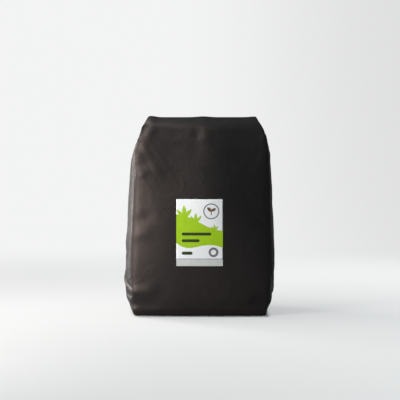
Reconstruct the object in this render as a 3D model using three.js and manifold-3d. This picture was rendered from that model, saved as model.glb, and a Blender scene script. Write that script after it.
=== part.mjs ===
// A filled 25 litre compost bag: a side-gusseted sack of black polythene film, folded over at the
// top and standing on its flat base, with a printed paper label on its front.
// Millimetres, +Z up, the front facing -Y. The origin is on the floor under the middle of the bag.

import * as THREE from 'three';
import { mergeVertices } from 'three/addons/utils/BufferGeometryUtils.js';
import Module from 'manifold-3d';

const wasm = await Module();
wasm.setup();

// The filled sack
const SACK_HEIGHT = 456; // floor to the folded top edge
const SACK_WIDTH = 350; // across the bulging gussets, at their fullest
const SACK_DEPTH = 216; // front to back, at its fullest
const TOP_FOLD_WIDTH = 248; // length of the folded top edge
const TOP_FOLD_OFFSET = 6; // the folded edge sits this far to the right of the middle
const TOP_FOLD_FORWARD = 22; // and this far in front of it
const TOP_FOLD_THICKNESS = 7; // film and trapped air at the folded edge
const LEFT_BULGE = 21; // how far the left gusset bulges out beyond its front and back creases
const RIGHT_BULGE = 10; // and the right gusset
const FACE_BULGE = 22; // how far the front and back bulge out beyond the creases
const GUSSET_TUCK = 27; // how far the gusset folds in at the shoulders
const PEAK_RISE = 3; // the film stands up this far at the highest peak of the folded edge
const CORNER_ROUNDING = 10; // the filling rounds the four upright creases off over about this length

// The peaks of the folded edge, by their place along it, their length and their height. Places and
// lengths are shares of half its length, and heights are shares of the rise.
const PEAKS = [
  { at: -0.94, length: 0.1, height: 1 },
  { at: 0.02, length: 0.15, height: 0.6 },
  { at: 0.97, length: 0.12, height: 0.5 },
];

// The folded-over flap behind the top edge
const FLAP_DROP = 96; // how far down the back it reaches
const FLAP_WIDTH = 240;
const FLAP_THICKNESS = 4;
const FLAP_ROOT = 3; // how far its inner side lies inside the sack's back

// The label
const LABEL_WIDTH = 104;
const LABEL_HEIGHT = 150;
const LABEL_CENTRE_HEIGHT = 194.5; // above the floor
const LABEL_THICKNESS = 0.3;
const LABEL_GAP = 0.3; // between the curved film and the paper
const INK_THICKNESS = 0.15;
const INK_GAP = 0.1;

// The print on the label, measured from the label's centre
const FIELD_TOP = 41; // top of the green field at the left edge
const FIELD_SHOULDER = 4; // and at the right edge
const FIELD_BOTTOM = -33;
const FIELD_WAVE = 9;
const HILL_STEPS = 12;
const LEAF_LENGTH = 30;
const LEAF_BOW = 0.3; // the reach of a leaf's bowed sides, as a share of its length
const LEAF_ROOT = 0.2; // the share of a leaf that is rooted in the hill
const SPRAY = [ // the leaves of one spray, by their lean to the right and their size
  { lean: -0.75, size: 0.88 }, { lean: -0.05, size: 1 }, { lean: 0.65, size: 0.88 },
];
const SPRAYS = [ // by their place across the label, as a share of its width, and their size
  { at: -0.324, size: 1 }, { at: -0.076, size: 0.75 }, { at: 0.324, size: 0.5 },
];
const EMBLEM_X = 26;
const EMBLEM_Z = 48;
const EMBLEM_RADIUS = 18;
const EMBLEM_LINE = 2.4;
const SPROUT_HEIGHT = 17;
const TITLE_LEFT = -40;
const TITLE_LENGTH = 66;
const TITLE_DEPTH = 6.5;
const TITLE_Z = -3;
const SUBTITLE_Z = -18;
const SUBTITLE_LENGTH = 40;
const DISC_X = 31;
const DISC_Z = -44;
const DISC_RADIUS = 11;
const DISC_LINE = 5;
const AMOUNT_LENGTH = 24;
const AMOUNT_DEPTH = 7;
const AMOUNT_Z = -46;
const FOOT_DEPTH = 15; // pale band along the label's foot
const RULE_DEPTH = 1.6;
const RULE_GAP = 1; // bare paper between the rule and the band

// Mesh fineness
const FACE_COLUMNS = 28;
const GUSSET_COLUMNS = 18;
const RINGS = 46;
const END_FINENESS = 0.62; // 0 spaces the rings evenly, towards 1 crowds them at the base and the top
const LABEL_COLUMNS = 8;
const LABEL_ROWS = 10;
const ARC_STEPS = 8;

const smoothstep = THREE.MathUtils.smoothstep;
const lerp = THREE.MathUtils.lerp;

// A smooth curve through [share of the height, value] points, with no overshoot between them.
function profile(points) {
  const slope = points.map((p, i) => {
    if (i === 0 || i === points.length - 1) return 0;
    const before = (p[1] - points[i - 1][1]) / (p[0] - points[i - 1][0]);
    const after = (points[i + 1][1] - p[1]) / (points[i + 1][0] - p[0]);
    return before * after > 0 ? (2 * before * after) / (before + after) : 0;
  });
  slope[0] = (points[1][1] - points[0][1]) / (points[1][0] - points[0][0]);
  const last = points.length - 1;
  slope[last] = (points[last][1] - points[last - 1][1]) / (points[last][0] - points[last - 1][0]);
  return (share) => {
    let i = 0;
    while (i < last - 1 && share > points[i + 1][0]) i += 1;
    const [x0, y0] = points[i];
    const [x1, y1] = points[i + 1];
    const span = x1 - x0;
    const t = (share - x0) / span;
    const t2 = t * t;
    const t3 = t2 * t;
    return (2 * t3 - 3 * t2 + 1) * y0 + (t3 - 2 * t2 + t) * span * slope[i]
      + (3 * t2 - 2 * t3) * y1 + (t3 - t2) * span * slope[i + 1];
  };
}

// Outlines of the sack by share of its height: half its width on either hand as a share of the fullest
// half width, and its reach forwards and backwards as a share of the fullest half depth.
const FOLD_LEFT = (TOP_FOLD_WIDTH / 2 - TOP_FOLD_OFFSET) / (SACK_WIDTH / 2);
const FOLD_RIGHT = (TOP_FOLD_WIDTH / 2 + TOP_FOLD_OFFSET) / (SACK_WIDTH / 2);
const FOLD_REACH_FRONT = (TOP_FOLD_THICKNESS + 2 * TOP_FOLD_FORWARD) / SACK_DEPTH;
const FOLD_REACH_BACK = (TOP_FOLD_THICKNESS - 2 * TOP_FOLD_FORWARD) / SACK_DEPTH;
const leftOutline = profile([
  [0, 0.88], [0.012, 0.902], [0.035, 0.931], [0.1, 0.982], [0.18, 1], [0.38, 0.98], [0.6, 0.943],
  [0.78, 0.903], [0.88, 0.814], [0.92, 0.77], [0.943, 0.757], [0.966, 0.72], [1, FOLD_LEFT],
]);
const rightOutline = profile([
  [0, 0.875], [0.012, 0.888], [0.035, 0.906], [0.06, 0.951], [0.1, 0.972], [0.25, 1], [0.45, 0.98],
  [0.65, 0.958], [0.82, 0.915], [0.9, 0.868], [0.95, 0.812], [0.98, 0.765], [1, FOLD_RIGHT],
]);
const frontOutline = profile([
  [0, 0.66], [0.01, 0.74], [0.02, 0.793], [0.03, 0.832], [0.042, 0.856], [0.06, 0.876], [0.1, 0.92],
  [0.2, 0.985], [0.3, 1], [0.5, 0.98], [0.62, 0.945], [0.7, 0.905], [0.78, 0.848], [0.86, 0.77],
  [0.92, 0.685], [0.96, 0.585], [0.985, 0.42], [1, FOLD_REACH_FRONT],
]);
const backOutline = profile([
  [0, 0.66], [0.01, 0.74], [0.02, 0.793], [0.03, 0.832], [0.042, 0.856], [0.06, 0.876], [0.1, 0.92],
  [0.22, 0.99], [0.34, 1], [0.52, 0.965], [0.68, 0.87], [0.8, 0.68], [0.88, 0.475], [0.94, 0.225],
  [0.98, -0.01], [1, FOLD_REACH_BACK],
]);
// The gussets as shares of their bulge, and below 0 as shares of the tuck at the shoulders.
const gussetBulge = profile([
  [0, 0.2], [0.04, 0.55], [0.15, 1], [0.5, 1], [0.7, 0.75], [0.8, 0.35], [0.86, 0], [0.93, -1],
  [0.97, -0.8], [1, 0.07],
]);
const faceBulge = profile([
  [0, 0.2], [0.06, 0.55], [0.2, 0.9], [0.4, 1], [0.6, 0.9], [0.75, 0.55], [0.85, 0.3], [0.94, 0.15],
  [1, 0.02],
]);

// Panels arch between the creases: the faces flatly, the gussets roundly, and to a sharp valley
// where the gusset is tucked in at the shoulders.
const FACE_FLATNESS = 2.4;
const GUSSET_ROUNDNESS = 2.2;
const VALLEY_SHARPNESS = 1.15;
const arch = (across, power) => 1 - Math.abs(2 * across - 1) ** power;

function gussetPower(share) {
  const tucked = smoothstep(share, 0.8, 0.9) * (1 - smoothstep(share, 0.97, 1));
  return lerp(GUSSET_ROUNDNESS, VALLEY_SHARPNESS, tucked);
}

// Soft dents and folds in the film: a line from one point to another, how wide the fold is on either
// side of the line, and how deep. A negative depth stands out. Points are [across, height] as shares
// of half the width and of the height, and widths and depths are shares of the whole width.
const FOLDS = [
  { face: 'front', from: [0.05, 1], to: [0.05, 0.72], width: 0.177, depth: -0.0271 },
  { face: 'front', from: [-0.02, 1], to: [-0.03, 0.83], width: 0.037, depth: 0.0046 },
  { face: 'front', from: [-0.8, 0.93], to: [-0.86, 0.84], width: 0.034, depth: 0.0171 },
  { face: 'front', from: [-0.6, 0.92], to: [-0.08, 0.9], width: 0.04, depth: 0.0086 },
  { face: 'front', from: [0.2, 0.9], to: [0.76, 0.9], width: 0.04, depth: 0.0071 },
  { face: 'front', from: [-0.85, 0.715], to: [-0.7, 0.735], width: 0.023, depth: 0.0086 },
  { face: 'front', from: [-0.86, 0.47], to: [-0.68, 0.5], width: 0.031, depth: 0.006 },
  { face: 'front', from: [-0.86, 0.405], to: [-0.68, 0.42], width: 0.029, depth: -0.005 },
  { face: 'front', from: [-0.87, 0.122], to: [-0.62, 0.124], width: 0.032, depth: -0.0129 },
  { face: 'front', from: [-0.84, 0.064], to: [-0.6, 0.07], width: 0.037, depth: 0.0143 },
  { face: 'front', from: [0.88, 0.065], to: [0.7, 0.08], width: 0.037, depth: 0.0171 },
  { face: 'front', from: [0.93, 0.45], to: [0.8, 0.47], width: 0.034, depth: 0.0114 },
  { face: 'back', from: [0.09, 0.76], to: [0.04, 0.5], width: 0.051, depth: 0.0114 },
  { face: 'back', from: [-0.86, 0.6], to: [-0.66, 0.64], width: 0.037, depth: 0.0143 },
  { face: 'back', from: [0.92, 0.3], to: [0.7, 0.27], width: 0.037, depth: 0.0143 },
  { face: 'back', from: [-0.85, 0.08], to: [-0.66, 0.09], width: 0.04, depth: 0.0171 },
  { face: 'back', from: [0.9, 0.08], to: [0.7, 0.09], width: 0.04, depth: 0.0171 },
];

function foldDepth(face, x, z) {
  let depth = 0;
  for (const fold of FOLDS) {
    if (fold.face !== face) continue;
    const x0 = (fold.from[0] * SACK_WIDTH) / 2;
    const z0 = fold.from[1] * SACK_HEIGHT;
    const dx = (fold.to[0] * SACK_WIDTH) / 2 - x0;
    const dz = fold.to[1] * SACK_HEIGHT - z0;
    const along = THREE.MathUtils.clamp(((x - x0) * dx + (z - z0) * dz) / (dx * dx + dz * dz), 0, 1);
    const away = Math.hypot(x - x0 - along * dx, z - z0 - along * dz) / (fold.width * SACK_WIDTH);
    depth += fold.depth * SACK_WIDTH * Math.exp(-away * away);
  }
  return depth;
}

// The four creases of a level cross-section, z up the sack.
function creases(z) {
  const share = z / SACK_HEIGHT;
  const gusset = gussetBulge(share);
  const leftGusset = gusset * (gusset > 0 ? LEFT_BULGE : GUSSET_TUCK);
  const rightGusset = gusset * (gusset > 0 ? RIGHT_BULGE : GUSSET_TUCK);
  const face = FACE_BULGE * faceBulge(share);
  return {
    share,
    leftGusset,
    rightGusset,
    face,
    left: (leftOutline(share) * SACK_WIDTH) / 2 - Math.max(leftGusset, 0),
    right: (rightOutline(share) * SACK_WIDTH) / 2 - Math.max(rightGusset, 0),
    front: (frontOutline(share) * SACK_DEPTH) / 2 - face,
    back: (backOutline(share) * SACK_DEPTH) / 2 - face,
  };
}

// How far forward of the middle the front stands, and how far behind it the back.
function frontReach(x, z) {
  const c = creases(z);
  const across = THREE.MathUtils.clamp((x + c.left) / (c.left + c.right), 0, 1);
  return c.front + c.face * arch(across, FACE_FLATNESS) - softened(c.share) * foldDepth('front', x, z);
}

function backReach(x, z) {
  const c = creases(z);
  const across = THREE.MathUtils.clamp((x + c.left) / (c.left + c.right), 0, 1);
  return c.back + c.face * arch(across, FACE_FLATNESS) - softened(c.share) * foldDepth('back', x, z);
}

// Folds fade out where the film is pressed flat, at the floor and at the folded top edge.
function softened(share) {
  return smoothstep(share, 0, 0.06) * (1 - smoothstep(share, 0.93, 0.985));
}

// The folded edge stands up in small peaks.
function edgeRise(x, share) {
  const along = (x - TOP_FOLD_OFFSET) / (TOP_FOLD_WIDTH / 2);
  const height = PEAKS.reduce((sum, peak) => (
    sum + peak.height * Math.exp(-(((along - peak.at) / peak.length) ** 2))
  ), 0);
  return PEAK_RISE * (height - 1) * smoothstep(share, 0.93, 1);
}

// One level ring of points, anticlockwise from above: front, right gusset, back, left gusset.
function ring(z) {
  const c = creases(z);
  const power = gussetPower(c.share);
  const points = [];
  const add = (x, y) => points.push(new THREE.Vector3(x, y, z + edgeRise(x, c.share)));
  for (let i = 0; i < FACE_COLUMNS; i += 1) {
    const x = lerp(-c.left, c.right, i / FACE_COLUMNS);
    add(x, -frontReach(x, z));
  }
  const frontRight = frontReach(c.right, z);
  const backRight = backReach(c.right, z);
  for (let i = 0; i < GUSSET_COLUMNS; i += 1) {
    const t = i / GUSSET_COLUMNS;
    add(c.right + c.rightGusset * arch(t, power), lerp(-frontRight, backRight, t));
  }
  for (let i = 0; i < FACE_COLUMNS; i += 1) {
    const x = lerp(c.right, -c.left, i / FACE_COLUMNS);
    add(x, backReach(x, z));
  }
  const frontLeft = frontReach(-c.left, z);
  const backLeft = backReach(-c.left, z);
  for (let i = 0; i < GUSSET_COLUMNS; i += 1) {
    const t = i / GUSSET_COLUMNS;
    add(-c.left - c.leftGusset * arch(t, power), lerp(backLeft, -frontLeft, t));
  }
  const free = smoothstep(c.share, 0, 0.07) * (1 - smoothstep(c.share, 0.8, 0.95));
  return roundCorners(points, CORNER_ROUNDING * free);
}

// Softens a ring's corners: every point becomes a bell-weighted mean of those within reach.
function roundCorners(points, reach) {
  if (reach < 1) return points;
  return points.map((point, i) => {
    const mean = new THREE.Vector3();
    let total = 0;
    for (let step = -5; step <= 5; step += 1) {
      const near = points[(i + step + points.length) % points.length];
      const weight = Math.exp(-((near.distanceTo(point) / reach) ** 2));
      mean.addScaledVector(near, weight);
      total += weight;
    }
    return mean.divideScalar(total);
  });
}

// Rings crowd together towards the base and the top.
function ringHeight(index) {
  const even = index / RINGS;
  return SACK_HEIGHT * (even - (END_FINENESS * Math.sin(2 * Math.PI * even)) / (2 * Math.PI));
}

function geometryOf(points, triangles) {
  const geometry = new THREE.BufferGeometry();
  geometry.setAttribute('position', new THREE.Float32BufferAttribute(points.flatMap((p) => p.toArray()), 3));
  geometry.setIndex(triangles);
  geometry.computeVertexNormals();
  return geometry;
}

function solidOf(geometry) {
  const bare = geometry.clone();
  bare.deleteAttribute('normal');
  bare.deleteAttribute('uv');
  const merged = mergeVertices(bare, 1e-4);
  return new wasm.Manifold(new wasm.Mesh({
    numProp: 3,
    vertProperties: new Float32Array(merged.attributes.position.array),
    triVerts: new Uint32Array(merged.index.array),
  }));
}

function geometryFrom(solid) {
  const mesh = solid.getMesh();
  const geometry = new THREE.BufferGeometry();
  geometry.setAttribute('position', new THREE.Float32BufferAttribute(mesh.vertProperties, 3));
  geometry.setIndex(Array.from(mesh.triVerts));
  geometry.computeVertexNormals();
  return geometry;
}

// The sack's walls are lofted through the rings, and its base and folded top edge close them.
function sackBody() {
  const columns = 2 * (FACE_COLUMNS + GUSSET_COLUMNS);
  const points = [];
  for (let j = 0; j <= RINGS; j += 1) points.push(...ring(ringHeight(j)));
  const triangles = [];
  for (let j = 0; j < RINGS; j += 1) {
    for (let i = 0; i < columns; i += 1) {
      const a = j * columns + i;
      const b = j * columns + ((i + 1) % columns);
      triangles.push(a, b, b + columns, a, b + columns, a + columns);
    }
  }
  triangles.push(...endCap(0, columns).reverse());
  triangles.push(...endCap(RINGS * columns, columns));
  return geometryOf(points, triangles);
}

// Closes a ring: strips from the front to the back, and a fan over each rounded gusset end.
function endCap(first, columns) {
  const triangles = [];
  const backStart = FACE_COLUMNS + GUSSET_COLUMNS;
  for (let i = 0; i < FACE_COLUMNS; i += 1) {
    const front = first + i;
    const back = first + ((backStart + FACE_COLUMNS - i) % columns);
    const nextBack = first + backStart + FACE_COLUMNS - i - 1;
    triangles.push(front, front + 1, nextBack, front, nextBack, back);
  }
  for (const start of [FACE_COLUMNS, backStart + FACE_COLUMNS]) {
    for (let i = 1; i < GUSSET_COLUMNS; i += 1) {
      triangles.push(first + start, first + start + i, first + ((start + i + 1) % columns));
    }
  }
  return triangles;
}

// A slab that follows a curved face. outer and inner give y at (x, z), outer being the side that shows.
function slab(x0, x1, z0, z1, columns, rows, outer, inner) {
  const points = [];
  for (const side of [outer, inner]) {
    for (let j = 0; j <= rows; j += 1) {
      for (let i = 0; i <= columns; i += 1) {
        const x = lerp(x0, x1, i / columns);
        const z = lerp(z0, z1, j / rows);
        points.push(new THREE.Vector3(x, side(x, z), z));
      }
    }
  }
  const width = columns + 1;
  const inside = width * (rows + 1);
  const triangles = [];
  const quad = (a, b, c, d) => triangles.push(a, b, c, a, c, d);
  for (let j = 0; j < rows; j += 1) {
    for (let i = 0; i < columns; i += 1) {
      const a = j * width + i;
      quad(a, a + 1, a + 1 + width, a + width);
      quad(inside + a + width, inside + a + 1 + width, inside + a + 1, inside + a);
    }
  }
  for (let i = 0; i < columns; i += 1) {
    const top = rows * width + i;
    quad(inside + i, inside + i + 1, i + 1, i);
    quad(top, top + 1, inside + top + 1, inside + top);
  }
  for (let j = 0; j < rows; j += 1) {
    const left = j * width;
    const right = left + columns;
    quad(inside + left, left, left + width, inside + left + width);
    quad(right, inside + right, inside + right + width, right + width);
  }
  return geometryOf(points, triangles);
}

// The flattened top of the sack, folded over the top edge and lying down the back.
function topFlap() {
  const left = TOP_FOLD_OFFSET - FLAP_WIDTH / 2;
  const right = TOP_FOLD_OFFSET + FLAP_WIDTH / 2;
  const top = SACK_HEIGHT - PEAK_RISE - 1;
  const outer = (x, z) => backReach(x, z) + FLAP_THICKNESS;
  const inner = (x, z) => backReach(x, z) - FLAP_ROOT;
  const rows = Math.round(FLAP_DROP / 8);
  // Seen from behind, left and right change places, so that the outer side still faces outwards.
  return slab(right, left, top - FLAP_DROP, top, FACE_COLUMNS, rows, outer, inner);
}

function makeSack() {
  const solid = solidOf(sackBody()).add(solidOf(topFlap()));
  return geometryFrom(solid);
}

// A sheet on the front of the sack between two distances off the film.
function frontSheet(width, height, near, far) {
  const centre = LABEL_CENTRE_HEIGHT;
  return slab(
    -width / 2, width / 2, centre - height / 2, centre + height / 2, LABEL_COLUMNS, LABEL_ROWS,
    (x, z) => -frontReach(x, z) - far,
    (x, z) => -frontReach(x, z) - near,
  );
}

function makeLabelSheet() {
  return frontSheet(LABEL_WIDTH, LABEL_HEIGHT, LABEL_GAP, LABEL_GAP + LABEL_THICKNESS);
}

// One printed patch, drawn flat about the label's centre as outlines that run together, and cut from a
// thin layer on the paper. Level 0 is printed straight on the paper and level 1 over the ink of level 0.
function makePrint(outlines, level = 0) {
  const near = LABEL_GAP + LABEL_THICKNESS + INK_GAP + level * (INK_THICKNESS + INK_GAP);
  const layer = solidOf(frontSheet(LABEL_WIDTH, LABEL_HEIGHT, near, near + INK_THICKNESS));
  const prisms = outlines.map((outline) => {
    const prism = new THREE.ExtrudeGeometry(outline, {
      depth: SACK_DEPTH, bevelEnabled: false, curveSegments: ARC_STEPS,
    });
    prism.rotateX(Math.PI / 2);
    prism.translate(0, 0, LABEL_CENTRE_HEIGHT);
    return solidOf(prism);
  });
  const patch = prisms.reduce((joined, prism) => joined.add(prism));
  return geometryFrom(layer.intersect(patch));
}

// A pointed oval leaf, from its foot at (x, z) and leaning to the right of upright by an angle.
function leaf(x, z, lean, length) {
  const along = new THREE.Vector2(Math.sin(lean), Math.cos(lean));
  const side = new THREE.Vector2(along.y, -along.x);
  const at = (up, out) => new THREE.Vector2(x, z)
    .addScaledVector(along, up * length)
    .addScaledVector(side, out * length * LEAF_BOW);
  const [foot, right, tip, left] = [at(0, 0), at(0.45, 1), at(1, 0), at(0.45, -1)];
  const shape = new THREE.Shape();
  shape.moveTo(foot.x, foot.y);
  shape.quadraticCurveTo(right.x, right.y, tip.x, tip.y);
  shape.quadraticCurveTo(left.x, left.y, foot.x, foot.y);
  return shape;
}

// The green field: a wavy foot, a hill that rises to the left, and sprays of broad leaves standing on it.
function greenField() {
  const half = LABEL_WIDTH / 2;
  const hill = (x) => lerp(FIELD_TOP, FIELD_SHOULDER, smoothstep(x, -half, half));
  const ground = new THREE.Shape();
  ground.moveTo(-half, FIELD_BOTTOM + FIELD_WAVE);
  ground.bezierCurveTo(
    -half / 3, FIELD_BOTTOM - 2 * FIELD_WAVE, 0, FIELD_BOTTOM + 2 * FIELD_WAVE, half, FIELD_BOTTOM,
  );
  for (let i = 0; i <= HILL_STEPS; i += 1) {
    const x = lerp(half, -half, i / HILL_STEPS);
    ground.lineTo(x, hill(x));
  }
  ground.closePath();
  const leaves = SPRAYS.flatMap((spray) => SPRAY.map((blade) => {
    const x = spray.at * LABEL_WIDTH;
    const length = LEAF_LENGTH * spray.size * blade.size;
    return leaf(x, hill(x) - LEAF_ROOT * length, blade.lean, length);
  }));
  return [ground, ...leaves];
}

function ringShape(x, z, radius, line) {
  const shape = new THREE.Shape().absarc(x, z, radius, 0, 2 * Math.PI, false);
  shape.holes.push(new THREE.Path().absarc(x, z, radius - line, 0, 2 * Math.PI, true));
  return shape;
}

// A seedling with two leaves, standing in the ring.
function sprout() {
  const foot = EMBLEM_Z - SPROUT_HEIGHT / 2;
  const stem = SPROUT_HEIGHT * 0.06;
  const fork = foot + SPROUT_HEIGHT * 0.5;
  const shape = new THREE.Shape();
  shape.moveTo(EMBLEM_X - stem, foot);
  shape.lineTo(EMBLEM_X + stem, foot);
  shape.lineTo(EMBLEM_X + stem, fork);
  shape.quadraticCurveTo(
    EMBLEM_X + SPROUT_HEIGHT * 0.55, fork - stem, EMBLEM_X + SPROUT_HEIGHT * 0.6, fork + SPROUT_HEIGHT * 0.42,
  );
  shape.quadraticCurveTo(EMBLEM_X + stem, fork + SPROUT_HEIGHT * 0.45, EMBLEM_X, fork + SPROUT_HEIGHT * 0.12);
  shape.quadraticCurveTo(
    EMBLEM_X - stem, fork + SPROUT_HEIGHT * 0.62, EMBLEM_X - SPROUT_HEIGHT * 0.55, fork + SPROUT_HEIGHT * 0.5,
  );
  shape.quadraticCurveTo(EMBLEM_X - SPROUT_HEIGHT * 0.5, fork, EMBLEM_X - stem, fork - stem);
  shape.closePath();
  return shape;
}

// A plain bar with rounded ends, in the place of a line of words.
function bar(left, z, length, depth) {
  const r = depth / 2;
  const shape = new THREE.Shape();
  shape.moveTo(left + r, z - r);
  shape.lineTo(left + length - r, z - r);
  shape.absarc(left + length - r, z, r, -Math.PI / 2, Math.PI / 2, false);
  shape.lineTo(left + r, z + r);
  shape.absarc(left + r, z, r, Math.PI / 2, (3 * Math.PI) / 2, false);
  return shape;
}

function band(bottom, depth) {
  const half = LABEL_WIDTH / 2;
  return new THREE.Shape([
    new THREE.Vector2(-half, bottom), new THREE.Vector2(half, bottom),
    new THREE.Vector2(half, bottom + depth), new THREE.Vector2(-half, bottom + depth),
  ]);
}

const film = { color: 0x2b2725, roughness: 0.5, metalness: 0 };
const paper = { color: 0xf2f2f0, roughness: 0.45, metalness: 0 };
const greenInk = { color: 0x98c01e, roughness: 0.45, metalness: 0 };
const greyInk = { color: 0x77757a, roughness: 0.45, metalness: 0 };
const paleInk = { color: 0xcfd0cb, roughness: 0.45, metalness: 0 };
const darkInk = { color: 0x2f3a12, roughness: 0.45, metalness: 0 };
const brownInk = { color: 0x6b543a, roughness: 0.45, metalness: 0 };

const compostBag = new THREE.Group();

function add(name, geometry, finish) {
  const mesh = new THREE.Mesh(geometry, new THREE.MeshStandardMaterial(finish));
  mesh.name = name;
  compostBag.add(mesh);
}

const foot = -LABEL_HEIGHT / 2;
add('filled_sack', makeSack(), film);
add('label_sheet', makeLabelSheet(), paper);
add('label_green_field', makePrint(greenField()), greenInk);
add('label_emblem_ring', makePrint([ringShape(EMBLEM_X, EMBLEM_Z, EMBLEM_RADIUS, EMBLEM_LINE)]), greyInk);
add('label_emblem_sprout', makePrint([sprout()]), brownInk);
add('label_title_bar', makePrint([bar(TITLE_LEFT, TITLE_Z, TITLE_LENGTH, TITLE_DEPTH)], 1), darkInk);
add('label_subtitle_bar', makePrint([bar(TITLE_LEFT, SUBTITLE_Z, SUBTITLE_LENGTH, TITLE_DEPTH)], 1), darkInk);
add('label_disc', makePrint([ringShape(DISC_X, DISC_Z, DISC_RADIUS, DISC_LINE)]), greyInk);
add('label_amount_bar', makePrint([bar(TITLE_LEFT, AMOUNT_Z, AMOUNT_LENGTH, AMOUNT_DEPTH)]), darkInk);
add('label_foot_rule', makePrint([band(foot + FOOT_DEPTH, RULE_DEPTH)]), greyInk);
add('label_foot_band', makePrint([band(foot, FOOT_DEPTH - RULE_GAP)]), paleInk);

export default compostBag;
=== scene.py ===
"""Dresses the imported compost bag: creased black film, its folded-over top and the paper label."""
import math

import bmesh
import bpy
import numpy as np
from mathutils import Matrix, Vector
from mathutils.bvhtree import BVHTree


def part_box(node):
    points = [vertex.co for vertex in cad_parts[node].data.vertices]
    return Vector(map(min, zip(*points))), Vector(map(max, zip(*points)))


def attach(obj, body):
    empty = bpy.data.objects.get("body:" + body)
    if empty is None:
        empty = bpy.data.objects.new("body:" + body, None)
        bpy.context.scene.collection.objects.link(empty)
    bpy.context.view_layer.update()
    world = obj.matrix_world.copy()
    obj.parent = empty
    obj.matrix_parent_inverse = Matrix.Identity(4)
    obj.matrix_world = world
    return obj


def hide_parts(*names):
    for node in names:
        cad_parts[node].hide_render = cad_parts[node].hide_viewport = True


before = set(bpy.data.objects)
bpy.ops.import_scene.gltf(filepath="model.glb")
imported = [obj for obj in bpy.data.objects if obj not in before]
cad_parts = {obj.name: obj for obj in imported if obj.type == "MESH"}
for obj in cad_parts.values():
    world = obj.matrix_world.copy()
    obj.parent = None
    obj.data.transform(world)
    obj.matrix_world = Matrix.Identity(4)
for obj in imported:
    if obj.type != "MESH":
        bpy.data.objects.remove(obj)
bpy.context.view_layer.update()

# The filled sack: a side-gusseted tube of black polythene film about 0.13 mm thick, welded across its
# base and filled with loose compost. The compost rounds its panels out between the four creases, and
# at the shoulders the gussets tuck in, so that the top can be pressed flat and folded over.
sack_low, sack_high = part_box("filled_sack")
SACK_HEIGHT = sack_high.z
HALF_WIDTH = (sack_high.x - sack_low.x) / 2
HALF_DEPTH = (sack_high.y - sack_low.y) / 2
FOLD_LENGTH = 0.248  # the folded edge at the top
FOLD_SHIFT = 0.006  # it sits this far to the right of the middle
FOLD_THICKNESS = 0.007
FOLD_FORWARD = 0.022  # and this far in front of it
FACE_BULGE = 0.022  # the front and back round out this far beyond the creases
GUSSET_BULGE_LEFT = 0.021  # and the gussets this far
GUSSET_BULGE_RIGHT = 0.010
GUSSET_TUCK = 0.027  # depth of the tuck at the shoulders
PEAK_RISE = 0.003  # the film stands up this far at the highest peak of the folded edge
# Each peak's place and length as shares of half the edge, and its height as a share of the rise.
PEAKS = ((-0.94, 0.1, 1.0), (0.02, 0.15, 0.6), (0.97, 0.12, 0.5))
FACE_FLATNESS = 2.4  # the faces arch flatly between their creases, the gussets more roundly
GUSSET_ROUNDNESS = 2.2
VALLEY_SHARPNESS = 1.15  # and to a sharp valley where they are tucked in
GUSSET_FLAT = 0.8  # flat width of a gusset, as a share of the sack's depth
CORNER_ROUNDING = 0.010  # the filling rounds the four upright creases off over about this length
CORNER_STEPS = 12  # points on either side that take part in the rounding
# Bands, as shares of the height. The gussets tuck in over the first and flatten over the second.
TUCK_IN, TUCK_OUT = (0.8, 0.9), (0.97, 1)
# The folds fade in above the base and out below the folded edge, or below the tuck in the gussets.
FOLDS_IN, FOLDS_OUT, SIDE_FOLDS_OUT = (0, 0.06), (0.93, 0.985), (0.78, 0.86)
ROUNDING_IN, ROUNDING_OUT = (0, 0.07), (0.8, 0.95)  # and so does the rounding of the creases
PEAKS_IN = (0.93, 1)
BASE_RISE = 0.0022  # the base is hollow between its rim and its seam
BASE_RIM_ACROSS, BASE_RIM_OVER = 0.12, 0.2  # the rim's share of half the base's width and depth
BASE_FOLD = 0.0009  # the gussets' triangles, folded under at both ends of it, come down this far
BASE_FOLD_START, BASE_FOLD_WHOLE = 0.5, 0.56  # where a triangle's edge lies, by half the base's width
BASE_FOLD_SLOPE = 0.45  # the edge runs outwards by this much towards the front and back
FACE_COLUMNS = 60
GUSSET_COLUMNS = 40
RINGS = 88
END_CROWDING = 0.35


def curve(points):
    """A smooth curve through (share of the height, value) points, with no overshoot between them."""
    shares, values = np.array(points, float).T
    rise = np.diff(values) / np.diff(shares)
    slope = np.concatenate([rise[:1], np.zeros(len(shares) - 2), rise[-1:]])
    steady = rise[:-1] * rise[1:] > 0
    slope[1:-1][steady] = (2 * rise[:-1] * rise[1:] / (rise[:-1] + rise[1:] + 1e-12))[steady]

    def at(share):
        i = np.clip(np.searchsorted(shares, share) - 1, 0, len(shares) - 2)
        span = shares[i + 1] - shares[i]
        t = (share - shares[i]) / span
        return ((2 * t**3 - 3 * t**2 + 1) * values[i] + (t**3 - 2 * t**2 + t) * span * slope[i]
                + (3 * t**2 - 2 * t**3) * values[i + 1] + (t**3 - t**2) * span * slope[i + 1])

    return at


def smooth_step(value, low, high):
    t = np.clip((value - low) / (high - low), 0, 1)
    return t * t * (3 - 2 * t)


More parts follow.
